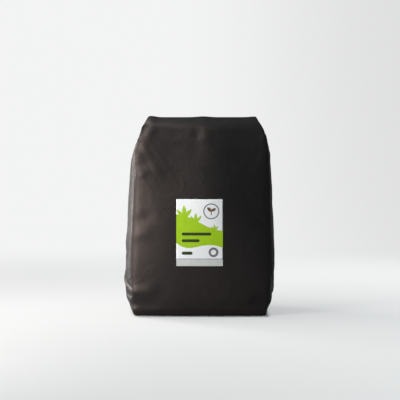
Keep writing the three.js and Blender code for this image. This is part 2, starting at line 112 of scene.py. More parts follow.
left_outline = curve([
    (0, 0.877), (0.012, 0.898), (0.035, 0.926), (0.1, 0.977), (0.18, 0.997), (0.38, 0.98),
    (0.6, 0.943), (0.78, 0.903), (0.88, 0.814), (0.92, 0.77), (0.943, 0.757), (0.966, 0.72),
    (1, (FOLD_LENGTH / 2 - FOLD_SHIFT) / HALF_WIDTH),
])
right_outline = curve([
    (0, 0.875), (0.012, 0.888), (0.035, 0.906), (0.06, 0.946), (0.1, 0.965), (0.25, 1),
    (0.45, 0.98), (0.65, 0.958), (0.82, 0.915), (0.9, 0.868), (0.95, 0.812), (0.98, 0.765),
    (1, (FOLD_LENGTH / 2 + FOLD_SHIFT) / HALF_WIDTH),
])
front_outline = curve([
    (0, 0.6), (0.006, 0.69), (0.013, 0.745), (0.022, 0.79), (0.032, 0.83), (0.044, 0.856),
    (0.06, 0.876), (0.1, 0.92), (0.2, 0.985), (0.3, 1), (0.5, 0.98), (0.62, 0.945), (0.7, 0.905),
    (0.78, 0.848), (0.86, 0.77), (0.92, 0.678), (0.96, 0.558), (0.985, 0.39),
    (1, (FOLD_FORWARD + FOLD_THICKNESS / 2) / HALF_DEPTH),
])
back_outline = curve([
    (0, 0.66), (0.01, 0.74), (0.02, 0.793), (0.03, 0.832), (0.042, 0.856), (0.06, 0.876), (0.1, 0.92),
    (0.22, 0.99), (0.34, 1), (0.52, 0.965), (0.68, 0.87), (0.8, 0.68), (0.88, 0.475), (0.94, 0.225),
    (0.98, -0.01),
    (1, (FOLD_THICKNESS / 2 - FOLD_FORWARD) / HALF_DEPTH),
])
gusset_bulge = curve([
    (0, 0.2), (0.04, 0.55), (0.15, 1), (0.5, 1), (0.7, 0.75), (0.8, 0.35), (0.86, 0), (0.93, -1),
    (0.97, -0.8), (1, 0.07),
])
face_bulge = curve([
    (0, 0.2), (0.06, 0.55), (0.2, 0.9), (0.4, 1), (0.6, 0.9), (0.75, 0.55), (0.85, 0.3), (0.94, 0.15),
    (1, 0.02),
])


def arch(across, power):
    return 1 - np.abs(2 * across - 1) ** power


# Soft folds and dents that the filling has pressed into the film, panel by panel: a line between two
# points (across the panel from its left as seen from outside, share of the height), the fold's width
# on either side of that line, and its depth. A negative depth stands out.
FOLDS = {
    "front": [
        ((0.57, 1.0), (0.57, 0.62), 0.062, -0.0085), ((0.47, 1.0), (0.455, 0.83), 0.013, 0.0016),
        ((0.02, 0.93), (0.0, 0.84), 0.012, 0.006), ((0.15, 0.92), (0.45, 0.9), 0.014, 0.003),
        ((0.6, 0.9), (0.92, 0.9), 0.014, 0.0025), ((0.045, 0.707), (0.065, 0.718), 0.0075, -0.0035),
        ((0.13, 0.7), (0.16, 0.72), 0.018, -0.0022), ((0.0, 0.738), (0.06, 0.755), 0.009, 0.0018),
        ((0.0, 0.47), (0.1, 0.5), 0.011, 0.0021),
        ((0.0, 0.405), (0.1, 0.42), 0.010, -0.0017), ((0.0, 0.127), (0.13, 0.13), 0.014, -0.005),
        ((0.0, 0.064), (0.14, 0.07), 0.015, 0.0032), ((1.0, 0.065), (0.9, 0.08), 0.013, 0.006),
        ((1.0, 0.45), (0.93, 0.47), 0.012, 0.004),
    ],
    "right": [
        ((0.2, 0.55), (0.75, 0.6), 0.014, 0.004), ((0.3, 0.2), (0.85, 0.16), 0.014, 0.004),
        ((0.5, 0.82), (0.5, 0.1), 0.004, 0.0016),
    ],
    "back": [
        ((0.45, 0.76), (0.48, 0.5), 0.018, 0.004), ((1.0, 0.6), (0.86, 0.64), 0.013, 0.005),
        ((0.0, 0.3), (0.14, 0.27), 0.013, 0.005), ((0.0, 0.08), (0.12, 0.09), 0.014, 0.006),
        ((1.0, 0.08), (0.88, 0.09), 0.014, 0.006),
    ],
    "left": [
        ((0.15, 0.5), (0.7, 0.44), 0.014, 0.004), ((0.2, 0.25), (0.8, 0.3), 0.014, 0.004),
        ((0.5, 0.82), (0.5, 0.1), 0.004, 0.0016),
    ],
}


def fold_depth(panel, across, share, panel_width):
    """How far the folds of a panel push its film in, at points across it and up it."""
    depth = np.zeros(np.broadcast(across, share).shape)
    for (start_across, start_share), (end_across, end_share), width, deep in FOLDS[panel]:
        run_x, run_z = (end_across - start_across) * panel_width, (end_share - start_share) * SACK_HEIGHT
        away_x, away_z = (across - start_across) * panel_width, (share - start_share) * SACK_HEIGHT
        along = np.clip((run_x * away_x + run_z * away_z) / (run_x ** 2 + run_z ** 2), 0, 1)
        gap = np.hypot(away_x - along * run_x, away_z - along * run_z) / width
        depth = depth + deep * np.exp(-gap * gap)
    return depth


def sack_section(share):
    """Rings of points round the sack, one row for each share of the height: front, right, back, left."""
    share = np.asarray(share, float)[:, None]
    bulge = gusset_bulge(share)
    bulge_left = np.where(bulge > 0, GUSSET_BULGE_LEFT, GUSSET_TUCK) * bulge
    bulge_right = np.where(bulge > 0, GUSSET_BULGE_RIGHT, GUSSET_TUCK) * bulge
    swell = FACE_BULGE * face_bulge(share)
    left = left_outline(share) * HALF_WIDTH - np.maximum(bulge_left, 0)
    right = right_outline(share) * HALF_WIDTH - np.maximum(bulge_right, 0)
    front = front_outline(share) * HALF_DEPTH - swell
    back = back_outline(share) * HALF_DEPTH - swell
    tucked = smooth_step(share, *TUCK_IN) * (1 - smooth_step(share, *TUCK_OUT))
    power = GUSSET_ROUNDNESS + (VALLEY_SHARPNESS - GUSSET_ROUNDNESS) * tucked
    over = np.arange(FACE_COLUMNS) / FACE_COLUMNS
    along = np.arange(GUSSET_COLUMNS) / GUSSET_COLUMNS
    free = smooth_step(share, *FOLDS_IN) * (1 - smooth_step(share, *FOLDS_OUT))
    side_free = free * (1 - smooth_step(share, *SIDE_FOLDS_OUT))
    face_arch = swell * arch(over, FACE_FLATNESS)
    gusset_width = GUSSET_FLAT * 2 * HALF_DEPTH
    x = np.concatenate([
        -left + (left + right) * over,
        right + bulge_right * arch(along, power)
        - side_free * np.sin(np.pi * along) * fold_depth("right", along, share, gusset_width),
        right - (left + right) * over,
        -left - bulge_left * arch(along, power)
        + side_free * np.sin(np.pi * along) * fold_depth("left", along, share, gusset_width),
    ], axis=1)
    front_y = -front - face_arch + free * fold_depth("front", over, share, left + right)
    back_y = back + face_arch - free * fold_depth("back", over, share, left + right)
    front_right = -front + free * fold_depth("front", 1.0, share, left + right)
    back_right = back - free * fold_depth("back", 0.0, share, left + right)
    back_left = back - free * fold_depth("back", 1.0, share, left + right)
    front_left = -front + free * fold_depth("front", 0.0, share, left + right)
    y = np.concatenate([
        front_y, front_right + (back_right - front_right) * along,
        back_y, back_left + (front_left - back_left) * along,
    ], axis=1)
    edge = (x - FOLD_SHIFT) / (FOLD_LENGTH / 2)
    peaks = sum(height * np.exp(-((edge - at) / length) ** 2) for at, length, height in PEAKS)
    z = share * SACK_HEIGHT + PEAK_RISE * (peaks - 1) * smooth_step(share, *PEAKS_IN)
    return np.stack([x, y, z], axis=2)


def mesh_object(name, points, faces):
    mesh = bpy.data.meshes.new(name)
    mesh.from_pydata([tuple(p) for p in points], [], [tuple(int(i) for i in f) for f in faces])
    mesh.polygons.foreach_set("use_smooth", [True] * len(mesh.polygons))
    mesh.update()
    piece = bpy.data.objects.new(name, mesh)
    bpy.context.scene.collection.objects.link(piece)
    return piece


def closing_patch(ring):
    """A grid of points that closes a ring and has the ring's own points round its rim."""
    back_start = FACE_COLUMNS + GUSSET_COLUMNS
    front = ring[: FACE_COLUMNS + 1]
    right = ring[FACE_COLUMNS: back_start + 1]
    back = ring[back_start: back_start + FACE_COLUMNS + 1][::-1]
    left = np.concatenate([ring[back_start + FACE_COLUMNS:], ring[:1]])[::-1]
    u = np.linspace(0, 1, FACE_COLUMNS + 1)[:, None, None]
    v = np.linspace(0, 1, GUSSET_COLUMNS + 1)[None, :, None]
    return ((1 - v) * front[:, None] + v * back[:, None] + (1 - u) * left[None] + u * right[None]
            - (1 - u) * (1 - v) * front[0] - u * (1 - v) * front[-1]
            - (1 - u) * v * back[0] - u * v * back[-1])


def round_corners(rings, amount):
    """Softens each ring's corners: every point becomes a bell-weighted mean of those within reach."""
    mean = np.zeros_like(rings)
    total = np.zeros(rings.shape[:2] + (1,))
    for step in range(-CORNER_STEPS, CORNER_STEPS + 1):
        near = np.roll(rings, step, axis=1)
        gap = np.linalg.norm(near - rings, axis=2, keepdims=True)
        weight = np.exp(-(gap / np.maximum(amount, 1e-6)) ** 2)
        mean += weight * near
        total += weight
    return mean / total


even = np.linspace(0, 1, RINGS + 1)
ring_shares = even - END_CROWDING * np.sin(2 * math.pi * even) / (2 * math.pi)
rings = sack_section(ring_shares)
ring_size = rings.shape[1]
rounding = CORNER_ROUNDING * smooth_step(ring_shares, *ROUNDING_IN)
rounding = rounding * (1 - smooth_step(ring_shares, *ROUNDING_OUT))
rings = round_corners(rings, rounding[:, None, None])


def sack_faces(first_patch):
    """Quads between the rings, then those of the base patch and of the patch at the folded edge."""
    faces = []
    for j in range(RINGS):
        for i in range(ring_size):
            k = (i + 1) % ring_size
            lower, upper = j * ring_size, (j + 1) * ring_size
            faces.append((lower + i, lower + k, upper + k, upper + i))
    for ring, turned in ((0, True), (RINGS, False)):
        def index(a, b, ring=ring, turned=turned):
            start = ring * ring_size
            if b == 0:
                return start + a
            if a == FACE_COLUMNS:
                return start + FACE_COLUMNS + b
            if b == GUSSET_COLUMNS:
                return start + 2 * FACE_COLUMNS + GUSSET_COLUMNS - a
            if a == 0:
                return start + (ring_size - b) % ring_size
            inner = (FACE_COLUMNS - 1) * (GUSSET_COLUMNS - 1)
            return first_patch + (0 if turned else inner) + (a - 1) * (GUSSET_COLUMNS - 1) + b - 1
        for a in range(FACE_COLUMNS):
            for b in range(GUSSET_COLUMNS):
                quad = (index(a, b), index(a + 1, b), index(a + 1, b + 1), index(a, b + 1))
                faces.append(quad[::-1] if turned else quad)
    return faces


base_patch = closing_patch(rings[0])
base_across, base_over = np.abs(np.meshgrid(
    np.linspace(-1, 1, FACE_COLUMNS + 1), np.linspace(-1, 1, GUSSET_COLUMNS + 1), indexing="ij"))
inside_rim = smooth_step(1 - base_across, 0, BASE_RIM_ACROSS) * smooth_step(1 - base_over, 0, BASE_RIM_OVER)
folded_ends = smooth_step(base_across - BASE_FOLD_SLOPE * base_over, BASE_FOLD_START, BASE_FOLD_WHOLE)
base_patch[:, :, 2] += inside_rim * (BASE_RISE - BASE_FOLD * folded_ends)
base_patch = base_patch[1:-1, 1:-1].reshape(-1, 3)
fold_patch = closing_patch(rings[-1])[1:-1, 1:-1].reshape(-1, 3)
sack_points = np.concatenate([rings.reshape(-1, 3), base_patch, fold_patch])
sack = mesh_object("sack_film", sack_points, sack_faces(rings.shape[0] * ring_size))


def node_material(name):
    material = bpy.data.materials.new(name)
    material.use_nodes = True
    nodes, links = material.node_tree.nodes, material.node_tree.links
    return material, nodes, links, nodes["Principled BSDF"]


# The film is a little roomier than its filling, so it buckles into folds where nothing holds it flat.
FILM_EXCESS = 0.03
FILLING_GAP = 0.0025  # the filling lies this far inside the film before it settles
FILM_REST = 0.001  # and the settled film rests this far off it
LARGEST_MOVE = 0.007
FRONT_SHARE = 0.11  # the labelled front was smoothed by hand, so its folds are lower than the others
FRONT_STARTS, FRONT_WHOLE = 0.45, 0.8  # what counts as the front, by how squarely it faces forwards
SWELL_REACH = 7  # moves that are broader than about this many points count as swelling
SETTLING_FRAMES = 26
LABEL_MARGIN = 0.004  # the film is held flat this far round the label
LABEL_HOLD = 0.05  # and is wholly free this much further out
BASE_HELD, BASE_FREE = 0.008, 0.045  # it is held up to the one height, and free from the other up
FOLD_FREE, FOLD_HELD = 0.055, 0.012  # and the same, measured down from the folded edge
CLOTH_QUALITY = 6
CLOTH_MASS = 0.12
TENSION, COMPRESSION, SHEAR, BENDING = 30, 20, 12, 1.2  # stiffnesses of the film
OUTSIDE_PRESSURE = -1.5  # the film is pressed inwards, onto the filling
WEIGHT_SHARE = 0.25  # of gravity, so that the film settles without sliding down
FRICTION = 8


def held_share(points):
    """1 where the film can't buckle, under the label and along the fold and base, and 0 where it can."""
    x, y, z = points.T
    label_low, label_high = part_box("label_sheet")
    beside = np.maximum(np.abs(x) - (label_high.x + LABEL_MARGIN), 0)
    below = np.maximum(np.maximum(label_low.z - LABEL_MARGIN - z, z - label_high.z - LABEL_MARGIN), 0)
    label = np.where(y < 0, 1 - smooth_step(np.hypot(beside, below), 0, LABEL_HOLD), 0)
    base = 1 - smooth_step(z, BASE_HELD, BASE_FREE)
    fold = smooth_step(z, SACK_HEIGHT - FOLD_FREE, SACK_HEIGHT - FOLD_HELD)
    return np.maximum(np.maximum(label, base), fold)


def swelling(moved):
    """The broad part of the film's moves round and up the wall, without its folds."""
    for _ in range(SWELL_REACH * SWELL_REACH):
        padded_rows = np.concatenate([moved[:1], moved, moved[-1:]])
        moved = (np.roll(moved, 1, 1) + np.roll(moved, -1, 1) + padded_rows[:-2] + padded_rows[2:]) / 4
    return moved


def settle_film(piece):
    """Presses the roomy film onto a slightly smaller filling and keeps the folds that stand up."""
    start = np.array([v.co for v in piece.data.vertices])
    normals = np.array([v.normal for v in piece.data.vertices])
    held = held_share(start)
    filling = bpy.data.objects.new("filling", piece.data.copy())
    bpy.context.scene.collection.objects.link(filling)
    filling.data.vertices.foreach_set("co", (start - FILLING_GAP * normals).ravel())
    filling.modifiers.new("Collision", "COLLISION")
    filling.collision.thickness_outer = FILM_REST
    filling.collision.cloth_friction = FRICTION
    pins = piece.vertex_groups.new(name="held")
    roomy = piece.vertex_groups.new(name="taut")
    for i, share in enumerate(held):
        pins.add([i], float(share) ** 2, "REPLACE")
        roomy.add([i], float(share), "REPLACE")
    cloth = piece.modifiers.new("Cloth", "CLOTH")
    cloth.settings.quality = CLOTH_QUALITY
    cloth.settings.mass = CLOTH_MASS
    cloth.settings.tension_stiffness = TENSION
    cloth.settings.compression_stiffness = COMPRESSION
    cloth.settings.shear_stiffness = SHEAR
    cloth.settings.bending_stiffness = BENDING
    cloth.settings.use_pressure = True
    cloth.settings.uniform_pressure_force = OUTSIDE_PRESSURE
    cloth.settings.vertex_group_mass = "held"
    cloth.settings.pin_stiffness = 1
    cloth.settings.shrink_min = -FILM_EXCESS
    cloth.settings.shrink_max = 0.0
    cloth.settings.vertex_group_shrink = "taut"
    cloth.settings.effector_weights.gravity = WEIGHT_SHARE
    cloth.collision_settings.distance_min = FILM_REST
    cloth.point_cache.frame_end = SETTLING_FRAMES
    for step in range(1, SETTLING_FRAMES + 1):
        bpy.context.scene.frame_set(step)
    settled = piece.evaluated_get(bpy.context.evaluated_depsgraph_get()).data
    moved = np.array([v.co for v in settled.vertices]) - start
    piece.modifiers.remove(cloth)
    bpy.context.scene.frame_set(1)
    wall = len(rings) * ring_size
    moved[:wall] -= swelling(moved[:wall].reshape(-1, ring_size, 3)).reshape(-1, 3)
    length = np.linalg.norm(moved, axis=1, keepdims=True) + 1e-9
    front = smooth_step(-normals[:, 1], FRONT_STARTS, FRONT_WHOLE)
    free = (1 - held) * (1 - (1 - FRONT_SHARE) * front)
    moved *= LARGEST_MOVE * np.tanh(length / LARGEST_MOVE) / length * free[:, None]
    piece.data.vertices.foreach_set("co", (start + moved).ravel())
    piece.data.update()
    piece.vertex_groups.clear()
    bpy.data.objects.remove(filling)


settle_film(sack)
smooth = sack.modifiers.new("Subdivision", "SUBSURF")
smooth.levels = 1
smooth.render_levels = 1


def grain(nodes, links, scale, detail=2.0, stretch=(1, 1, 1), distortion=0.0):
    """A noise pattern fixed to the piece, by its features per metre and its stretch along each axis."""
    place = nodes.new("ShaderNodeTexCoord")
    spread = nodes.new("ShaderNodeMapping")
    spread.inputs["Scale"].default_value = [1 / amount for amount in stretch]
    noise = nodes.new("ShaderNodeTexNoise")
    noise.inputs["Scale"].default_value = scale
    noise.inputs["Detail"].default_value = detail
    noise.inputs["Distortion"].default_value = distortion
    links.new(place.outputs["Object"], spread.inputs["Vector"])
    links.new(spread.outputs["Vector"], noise.inputs["Vector"])
    return noise.outputs["Fac"]


def between(nodes, links, value, low, high):
    """Turns a pattern's middle range into values from low to high."""
    span = nodes.new("ShaderNodeMapRange")
    span.inputs["From Min"].default_value = 0.3
    span.inputs["From Max"].default_value = 0.7
    span.inputs["To Min"].default_value = low
    span.inputs["To Max"].default_value = high
    links.new(value, span.inputs["Value"])
    return span.outputs["Result"]


def two_tones(nodes, links, value, dark, light):
    """Blends two colours by a pattern."""
    tones = nodes.new("ShaderNodeValToRGB")
    tones.color_ramp.elements[0].position = 0.32
    tones.color_ramp.elements[0].color = (*dark, 1)
    tones.color_ramp.elements[1].position = 0.68
    tones.color_ramp.elements[1].color = (*light, 1)
    links.new(value, tones.inputs["Fac"])
    return tones.outputs["Color"]


def combine(nodes, links, operation, first, second):
    """A sum, product or the like of two values, each a number or a pattern."""
    result = nodes.new("ShaderNodeMath")
    result.operation = operation
    for socket, value in zip(result.inputs, (first, second)):
        if isinstance(value, (int, float)):
            socket.default_value = value
        else:
            links.new(value, socket)
    return result.outputs[0]


def raise_surface(nodes, links, shader, height_mm):
    """Bump, from a pattern of heights in millimetres."""
    bump = nodes.new("ShaderNodeBump")
    bump.inputs["Strength"].default_value = 1.0
    bump.inputs["Distance"].default_value = 0.001
    links.new(height_mm, bump.inputs["Height"])
    links.new(bump.outputs["Normal"], shader.inputs["Normal"])


# The film's look. Patterns are given in features per metre, and heights in millimetres.
FILM_DARK, FILM_LIGHT = (0.0122, 0.0118, 0.0115), (0.0150, 0.0145, 0.0142)
FILM_SHINE = 0.40
FILM_SHINE_TONE = (1.0, 0.75, 0.68, 1)  # the film shines a little brown
FILM_ROUGH = (0.43, 0.52)
CLOUDS, STREAKS, SMUDGES, LUMPS, CRINKLES, MATT_GRAIN = 16, 260, 38, 62, 24, 1500
STREAK_STRETCH = (1, 1, 60)  # the film is drawn upwards as it is made
STREAK_SHARE = 0.25  # of the film's tone
STREAK_ROUGH = 0.015
STREAK_HEIGHT, MATT_HEIGHT = 0.02, 0.012
CRINKLE_SHARPNESS = 14


def film_finish(name, lump_mm, crinkle_mm):
    """Matt black film: faint streaks from its making, lumps of the filling behind, and fine crinkles."""
    material, nodes, links, shader = node_material(name)
    cloudy = grain(nodes, links, CLOUDS, 4)
    streaks = grain(nodes, links, STREAKS, 3, STREAK_STRETCH)
    smudges = grain(nodes, links, SMUDGES, 3, distortion=0.6)
    tone = combine(nodes, links, "ADD", combine(nodes, links, "MULTIPLY", cloudy, 1 - STREAK_SHARE),
                   combine(nodes, links, "MULTIPLY", streaks, STREAK_SHARE))
    links.new(two_tones(nodes, links, tone, FILM_DARK, FILM_LIGHT), shader.inputs["Base Color"])
    rough = combine(nodes, links, "ADD", between(nodes, links, smudges, *FILM_ROUGH),
                    between(nodes, links, streaks, -STREAK_ROUGH, STREAK_ROUGH))
    links.new(rough, shader.inputs["Roughness"])
    lumps = combine(nodes, links, "MULTIPLY", grain(nodes, links, LUMPS, 2), lump_mm)
    wave = grain(nodes, links, CRINKLES, 3, (1.5, 1.5, 1), 0.8)
    wave = combine(nodes, links, "ABSOLUTE", combine(nodes, links, "SUBTRACT", wave, 0.5), 0)
    ridge = combine(nodes, links, "SUBTRACT", 1, wave)
    ridge = combine(nodes, links, "POWER", ridge, CRINKLE_SHARPNESS)
    crinkles = combine(nodes, links, "MULTIPLY", ridge, crinkle_mm)
    matt = combine(nodes, links, "MULTIPLY", grain(nodes, links, MATT_GRAIN, 2), MATT_HEIGHT)
    lines = combine(nodes, links, "MULTIPLY", streaks, STREAK_HEIGHT)
    height = combine(nodes, links, "ADD", combine(nodes, links, "ADD", lumps, crinkles),
                     combine(nodes, links, "ADD", matt, lines))
    raise_surface(nodes, links, shader, height)
    shader.inputs["Specular IOR Level"].default_value = FILM_SHINE
    shader.inputs["Specular Tint"].default_value = FILM_SHINE_TONE
    return material


sack.data.materials.append(film_finish("black_polythene_film", 0.22, 0.22))
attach(sack, "root")
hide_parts("filled_sack")

# The folded-over top: above the filling the tube of film is pressed flat, its gussets tucked in between
# front and back, and folded over backwards. It hangs down the back as a soft strap of four layers with
# a little air in it, and ends in the band where the filled bag was welded shut.
FLAP_WIDTH = 0.240
FLAP_DROP = 0.096
FLAP_LOFT = 0.0030  # thickness where air is caught between the layers
FLAP_EDGE = 0.0014  # thickness at the two folded sides
WELD_THICKNESS = 0.0007
WELD_START, WELD_END = 0.86, 0.94  # the welded band, as shares of the way down
WELD_FADE_IN, WELD_FADE_OUT = 0.05, 0.03
RIB_HEIGHT, RIB_SPACING = 0.00012, 0.0022  # ribs that the welding bar leaves
SKIRT_THINNING = 0.45  # the loose edge below the weld holds less air by this share
GUSSET_EDGE = 0.34  # the tucked gussets reach in to this share of half the width
GUSSET_STEP, GUSSET_STEP_REACH = 0.0005, 0.03  # and raise the flap by this much, over this share
WAVE_HEIGHT = 0.0011
WAVE_SEED = 5
CREASE_GAP = 0.0006  # the flap leaves the folded edge this far below its crest
AIR_STARTS = 0.22  # air has got between the layers at this share of the way down
FILM_SKIN = 0.0001  # gap between the flap and what it lies on, and its thickness at the fold
EDGE_LIFT, EDGE_LIFT_WAVE = 0.0022, 0.0016  # the free edge stands off the back by this much
BACK_LIFT = 0.0008  # and the whole flap by this much
INNER_REACH = 0.0012  # its inner side sinks this far into the film of the back, above the free edge
FLAP_SOFTNESS = 12  # rounds of evening out, so that it bridges the small dents of the back
FLAP_COLUMNS = 72
FLAP_ROWS = 44


def gentle(grid, steps):
    """Evens a grid of points out, holding its rim."""
    for _ in range(steps):
        inner = (grid[:-2, 1:-1] + grid[2:, 1:-1] + grid[1:-1, :-2] + grid[1:-1, 2:]) / 4
        grid[1:-1, 1:-1] += 0.6 * (inner - grid[1:-1, 1:-1])
    return grid


def rolling(across, down, seed, size):
    """Low irregular waves, about size high, from a few crossed ripples."""
    ripples = np.random.default_rng(seed)
    total = np.zeros_like(across)
    for _ in range(7):
        turn, pace, shift = ripples.uniform(-0.6, 0.6), ripples.uniform(2.5, 8), ripples.uniform(0, 6.3)
        total += np.sin(pace * (across * math.cos(turn) + down * math.sin(turn)) + shift)
    return size * total / 3.5


def grid_normals(grid):
    """Unit normals of a grid of points, turned towards its first axis crossed with its second."""
    normals = np.cross(np.gradient(grid, axis=0), np.gradient(grid, axis=1))
    return normals / np.linalg.norm(normals, axis=2, keepdims=True)


def closed_slab(name, outer, inner):
    """A closed body between two grids of points."""
    rows, columns = outer.shape[:2]
    size = rows * columns
    faces = []
    for j in range(rows - 1):
        for i in range(columns - 1):
            a = j * columns + i
            quad = (a, a + 1, a + 1 + columns, a + columns)
            faces.append(quad)
            faces.append(tuple(size + k for k in quad[::-1]))
    rim = ([i for i in range(columns)] + [j * columns + columns - 1 for j in range(1, rows)]
           + [(rows - 1) * columns + i for i in range(columns - 2, -1, -1)]
           + [j * columns for j in range(rows - 2, 0, -1)])
    for a, b in zip(rim, rim[1:] + rim[:1]):
        faces.append((a, size + a, size + b, b))
    return mesh_object(name, np.concatenate([outer.reshape(-1, 3), inner.reshape(-1, 3)]), faces)


film_tree = BVHTree.FromObject(sack, bpy.context.evaluated_depsgraph_get())
flap_across = np.linspace(-1, 1, FLAP_COLUMNS + 1)
flap_down = np.linspace(0, 1, FLAP_ROWS + 1)
back_film = np.zeros((FLAP_ROWS + 1, FLAP_COLUMNS + 1, 3))
for i, across in enumerate(flap_across):
    x = FOLD_SHIFT + across * FLAP_WIDTH / 2
    crest = film_tree.ray_cast(Vector((x, -FOLD_FORWARD, 1)), Vector((0, 0, -1)))[0]
    back_film[0, i] = crest
    for j, down in enumerate(flap_down[1:], 1):
        height = crest.z - CREASE_GAP - FLAP_DROP * down
        back_film[j, i] = film_tree.ray_cast(Vector((x, 1, height)), Vector((0, -1, 0)))[0]
across, down = np.meshgrid(flap_across, flap_down)
back_film = gentle(back_film, FLAP_SOFTNESS)
outwards = grid_normals(back_film)
outwards *= np.sign(outwards[:, :, 1:2].mean())
rise = smooth_step(down, 0.0, AIR_STARTS)
gusset_edge = smooth_step(np.abs(across), GUSSET_EDGE - GUSSET_STEP_REACH, GUSSET_EDGE + GUSSET_STEP_REACH)
loft = FLAP_EDGE + (FLAP_LOFT - FLAP_EDGE) * (1 - np.abs(across) ** 6) + GUSSET_STEP * gusset_edge
skirt = smooth_step(down, WELD_END, WELD_END + WELD_FADE_OUT)
weld = smooth_step(down, WELD_START - WELD_FADE_IN, WELD_START) * (1 - skirt)
ribs = RIB_HEIGHT * np.cos(down * FLAP_DROP / RIB_SPACING * 2 * math.pi)
loft = loft * (1 - weld) * (1 - SKIRT_THINNING * skirt) + (WELD_THICKNESS + ribs) * weld
waves = rolling(across * 2, down * 1.4, WAVE_SEED, WAVE_HEIGHT)
waves = waves * smooth_step(down, 0.06, 0.3) * (1 - 0.5 * weld)
edge_lift = smooth_step(down, 0.6, 1.0) * (EDGE_LIFT + EDGE_LIFT_WAVE * np.sin(4.3 * across + 0.7))
lift = edge_lift + BACK_LIFT * rise + waves * 0.6
thick = FILM_SKIN + rise * (loft + 0.25 * waves)
sunk = INNER_REACH * (1 - smooth_step(down, 0.6, 0.9)) + FILM_SKIN
outer = back_film + outwards * (lift + thick)[:, :, None]
inner = back_film + outwards * (lift - sunk)[:, :, None]
flap = closed_slab("folded_top_flap", outer[:, ::-1], inner[:, ::-1])
soft_edge = flap.modifiers.new("Subdivision", "SUBSURF")
soft_edge.levels = 1
soft_edge.render_levels = 1
flap.data.materials.append(film_finish("folded_film", 0.0, 0.35))
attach(flap, "root")
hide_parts("filled_sack")

# The seam across the base: a flat welded fin of film, ribbed by the welding bar and pressed flat
# against the underside by the weight of the bag.
SEAM_LENGTH = 0.262
SEAM_WIDTH = 0.013
SEAM_THICKNESS = 0.0009
SEAM_WANDER = 0.0012  # how far the seam strays from a straight line
SEAM_CLEARANCE = 0.0003  # above the floor
SEAM_RIBS, SEAM_RIB_HEIGHT = 3.5, 0.00025
SEAM_COLUMNS = 60
SEAM_ROWS = 12

seam_along, seam_over = np.meshgrid(np.linspace(-1, 1, SEAM_COLUMNS + 1), np.linspace(-1, 1, SEAM_ROWS + 1))
seam_x = FOLD_SHIFT / 2 + seam_along * SEAM_LENGTH / 2
seam_y = seam_over * SEAM_WIDTH / 2 + SEAM_WANDER * np.sin(3.1 * seam_along)
seam_floor = SEAM_CLEARANCE + SEAM_RIB_HEIGHT * (1 + np.cos(seam_over * SEAM_RIBS * math.pi)) / 2
under = np.stack([seam_x, seam_y, seam_floor], axis=2)
over = np.stack([seam_x, seam_y, seam_floor + SEAM_THICKNESS], axis=2)
seam = closed_slab("base_seam_fin", over, under)
seam.data.materials.append(film_finish("welded_film", 0.0, 0.1))
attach(seam, "root")
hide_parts("filled_sack")

# The label: one A6 sheet of coated white paper, glued all over to the front of the filled bag, so it
# follows the film's broad curves but is too stiff to follow its small ones.
PAPER_THICKNESS = 0.00025
PAPER_GAP = 0.0001
PAPER_COLUMNS = 42
PAPER_ROWS = 60
PAPER_STIFFNESS = 30  # rounds of evening out, which take the film's small folds away
CORNER_CURL = 0.0007
CLOUDS_ON_PAPER, FIBRES = 90, 1400  # features per metre
FIBRE_SHARE = 0.4  # of the paper's tone
TOOTH_MM = 0.012

paper_low, paper_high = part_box("label_sheet")
paper_x = np.linspace(paper_low.x, paper_high.x, PAPER_COLUMNS + 1)
paper_z = np.linspace(paper_low.z, paper_high.z, PAPER_ROWS + 1)
front_film = np.array([[film_tree.ray_cast(Vector((x, -1, z)), Vector((0, 1, 0)))[0] for x in paper_x]
                       for z in paper_z])
paper_back = gentle(front_film.copy(), PAPER_STIFFNESS)
paper_back[:, :, 1] -= np.max(paper_back[:, :, 1] - front_film[:, :, 1]) + PAPER_GAP
corner = np.abs(np.outer(np.linspace(-1, 1, PAPER_ROWS + 1), np.linspace(-1, 1, PAPER_COLUMNS + 1)))
paper_back[:, :, 1] -= CORNER_CURL * corner ** 12
paper_front = paper_back.copy()
paper_front[:, :, 1] -= PAPER_THICKNESS
label = closed_slab("paper_label", paper_front, paper_back)


def paper_finish(name, dark, light, rough):
    """Printed or bare coated paper: a faint cloudiness, a fine tooth and a soft, slightly uneven gloss."""
    material, nodes, links, shader = node_material(name)
    clouds = grain(nodes, links, CLOUDS_ON_PAPER, 4)
    fibres = grain(nodes, links, FIBRES, 3, (2.5, 1, 1))
    tone = combine(nodes, links, "ADD", combine(nodes, links, "MULTIPLY", clouds, 1 - FIBRE_SHARE),
                   combine(nodes, links, "MULTIPLY", fibres, FIBRE_SHARE))
    links.new(two_tones(nodes, links, tone, dark, light), shader.inputs["Base Color"])
    links.new(between(nodes, links, clouds, *rough), shader.inputs["Roughness"])
    raise_surface(nodes, links, shader, combine(nodes, links, "MULTIPLY", fibres, TOOTH_MM))
    return material


white = paper_finish("coated_white_paper", (0.88, 0.88, 0.872), (0.93, 0.93, 0.925), (0.38, 0.5))
label.data.materials.append(white)
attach(label, "root")
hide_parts("label_sheet")

# The print: flat fields of ink on the paper, a green hill with sprays of leaves, a ringed seedling, and
# plain bars, a disc and a band where a label carries its words. Each field lies on the laid paper.
INK_CUT = 0.004  # the fields are cut this fine, so that they bend with the paper
INK_LOWERING = 0.5  # real ink is thinner than its solid, so each field sinks by this share to the paper
INK_ROUGH = (0.34, 0.46)
EDGE_MARGIN = 0.0001

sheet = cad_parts["label_sheet"].data
sheet_tree = BVHTree.FromPolygons([v.co for v in sheet.vertices], [p.vertices for p in sheet.polygons])


